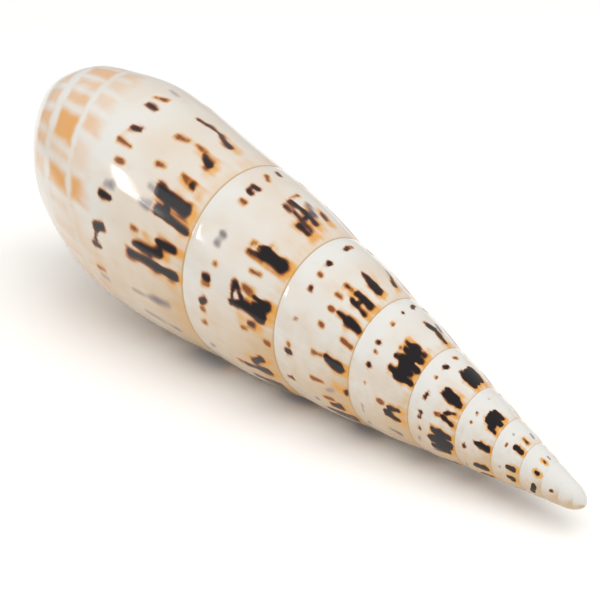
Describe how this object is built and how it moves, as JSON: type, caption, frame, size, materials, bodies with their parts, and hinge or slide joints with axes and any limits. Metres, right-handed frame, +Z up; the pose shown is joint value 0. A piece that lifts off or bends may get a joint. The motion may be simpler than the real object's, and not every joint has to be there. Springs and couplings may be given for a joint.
{
  "type": "auger shell",
  "caption": "Polished sea-snail shell, a slender cream spiral cone with dark blotches and a mouth at its wide end, lying on its side.",
  "frame": {"origin": "middle of the bounding box, on the floor", "axes": "+X towards the tip of the spire, +Z up, the mouth faces down"},
  "size_m": [0.1274, 0.0332, 0.0344],
  "materials": {
    "shell": "polished"
  },
  "bodies": {
    "root": {"shell": "shell"}
  },
  "joints": []
}
